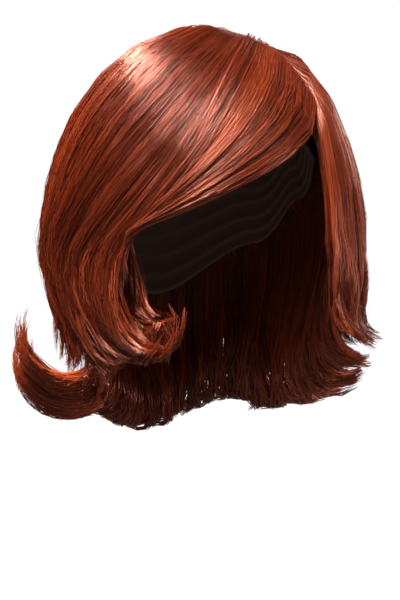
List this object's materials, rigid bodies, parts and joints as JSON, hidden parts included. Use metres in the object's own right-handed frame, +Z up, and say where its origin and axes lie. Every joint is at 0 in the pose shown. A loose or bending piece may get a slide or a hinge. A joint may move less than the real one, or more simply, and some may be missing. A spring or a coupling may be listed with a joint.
{
  "type": "medium-length wig",
  "caption": "Chin-length auburn wig with a side parting, a swept fringe and flicked-out ends, sewn on a hollow stretch cap that sits on a head.",
  "frame": {"origin": "inside top of the cap, where the crown of the head sits", "axes": "+Z up, -Y towards the face, +X towards the wearer's left"},
  "size_m": [0.2494, 0.2307, 0.2774],
  "materials": {
    "hair": "glossy auburn synthetic fibre",
    "cap_net": "dark brown stretch knit"
  },
  "bodies": {
    "root": {"cap": "cap_net", "fringe": "hair", "right_hair": "hair", "back_hair": "hair", "left_hair": "hair", "right_under_hair": "hair", "left_under_hair": "hair", "nape_hair": "hair"}
  },
  "joints": []
}
